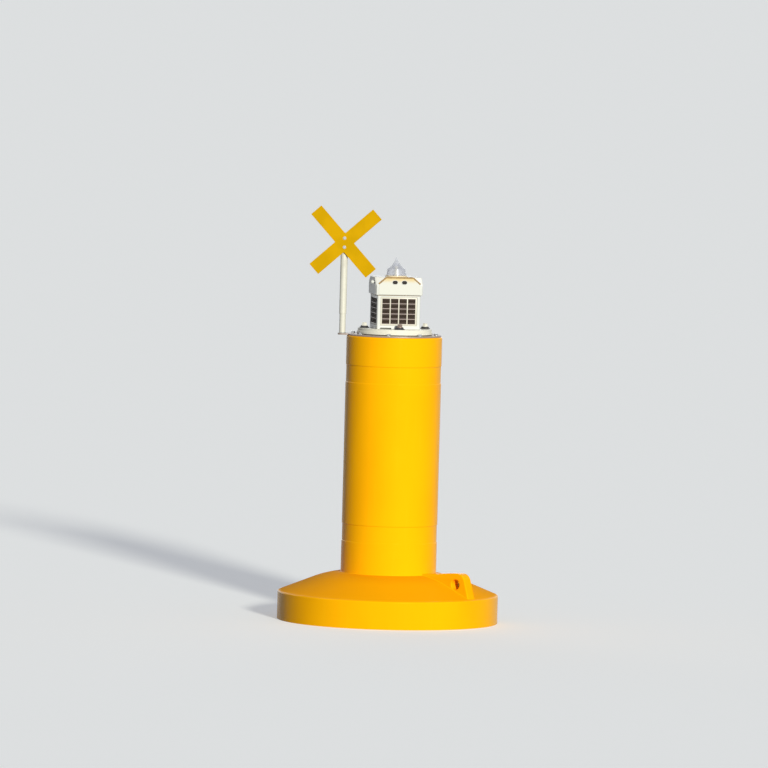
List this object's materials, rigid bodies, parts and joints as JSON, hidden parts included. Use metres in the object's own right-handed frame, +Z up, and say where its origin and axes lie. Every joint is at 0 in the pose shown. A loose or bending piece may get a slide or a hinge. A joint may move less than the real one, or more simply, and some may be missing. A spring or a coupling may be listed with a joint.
{
  "type": "navigation buoy",
  "caption": "Moulded plastic navigation buoy afloat: round float, tall yellow tower, solar lantern and an X topmark on a side pole.",
  "frame": {"origin": "on the buoy's axis at the waterline", "axes": "+Z up along the tower; the front, which the cross faces, is -Y; the topmark pole stands on the -X side"},
  "size_m": [1.4998, 1.4998, 3.9195],
  "materials": {
    "moulded_yellow": "satin, slightly waxy",
    "topmark_yellow": "satin",
    "lantern_white": "semi-gloss",
    "collar_cream": "satin",
    "galvanised_steel": "dull zinc",
    "ballast_iron": "rough, painted",
    "spacer_rubber": "matt",
    "pad_rubber": "matt",
    "solar_cells": "glossy laminate",
    "port_dark": "glossy",
    "lens_clear": "clear",
    "light_source": "satin"
  },
  "bodies": {
    "root": {"float_hull": "moulded_yellow", "tower": "moulded_yellow", "top_plate": "galvanised_steel", "lantern_spacer": "spacer_rubber", "lantern_base": "lantern_white", "hold_down_pads": "pad_rubber", "lantern_body": "lantern_white", "solar_panel_front": "solar_cells", "solar_panel_right": "solar_cells", "solar_panel_back": "solar_cells", "solar_panel_left": "solar_cells", "lantern_head": "lantern_white", "port_plugs": "port_dark", "side_knob": "lantern_white", "lens_collar": "collar_cream", "lens": "lens_clear", "light_source": "light_source", "topmark_spigot": "galvanised_steel", "topmark_pole": "galvanised_steel", "topmark_saddle": "galvanised_steel", "topmark_cross": "topmark_yellow", "keel_plate": "galvanised_steel", "tail_tube": "galvanised_steel", "keel_gussets": "galvanised_steel", "ballast_discs": "ballast_iron", "tail_flange": "galvanised_steel", "mooring_eye": "galvanised_steel"}
  },
  "joints": []
}
